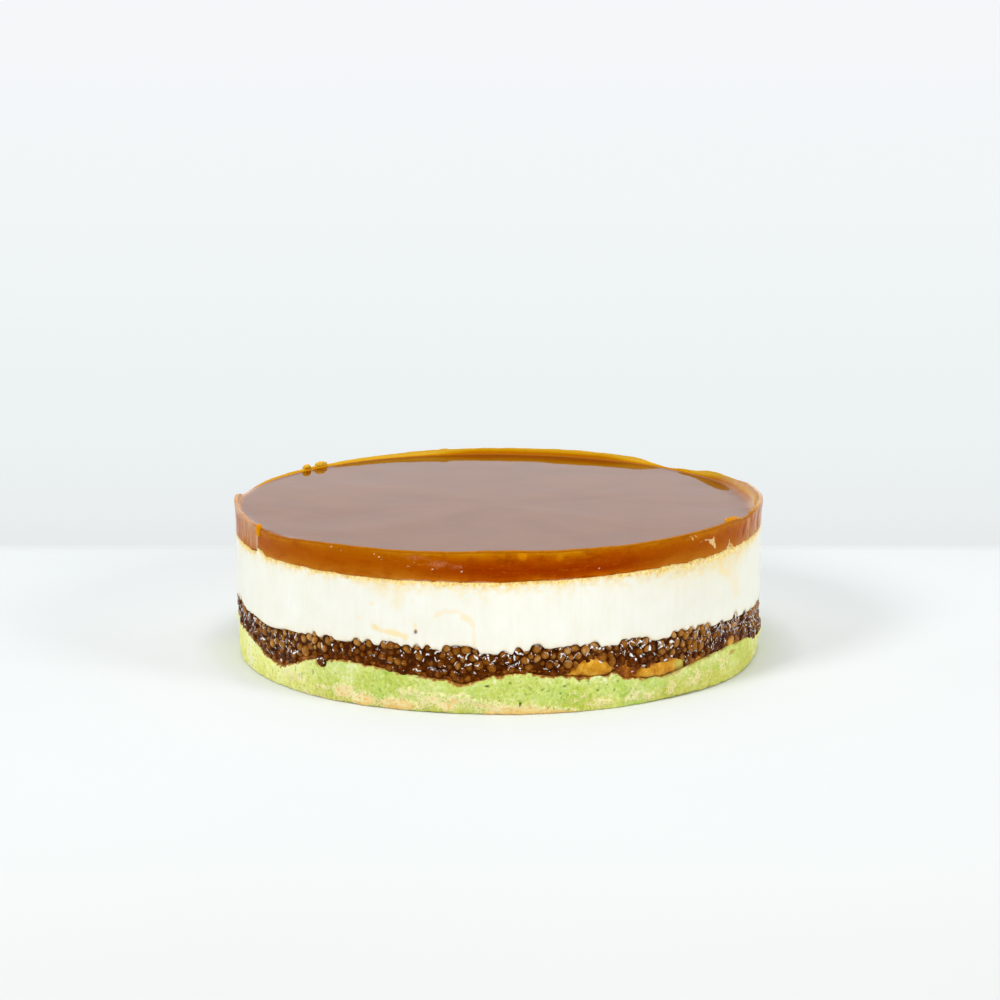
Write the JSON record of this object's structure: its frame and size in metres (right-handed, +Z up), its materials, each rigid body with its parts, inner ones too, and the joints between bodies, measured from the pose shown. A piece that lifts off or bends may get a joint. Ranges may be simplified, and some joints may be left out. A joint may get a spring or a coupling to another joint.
{
  "type": "cendol cake",
  "caption": "Round layered cendol cake: green pandan sponge, dark palm sugar sago pearls, white coconut mousse and a glossy caramel top with a raised rim.",
  "frame": {"origin": "centre of the flat base, on the surface the cake stands on", "axes": "+Z up through the layers, -Y the side that faces the viewer, +X to the viewer's right"},
  "size_m": [0.1784, 0.1784, 0.0548],
  "materials": {
    "sponge": "light green pandan sponge, open crumb, matt, with cream and tan crust patches near its foot",
    "pearls": "small translucent brown sago pearls in dark palm sugar syrup, wet and glossy",
    "mousse": "ivory white coconut mousse, satin, with faint upright streaks and a tan bleed under the caramel",
    "caramel": "palm sugar caramel, clear amber brown, smooth and mirror glossy on top, gold at its thin rim"
  },
  "bodies": {
    "root": {"pandan_sponge": "sponge", "sago_pearls": "pearls", "coconut_mousse": "mousse", "caramel_top": "caramel"}
  },
  "joints": []
}
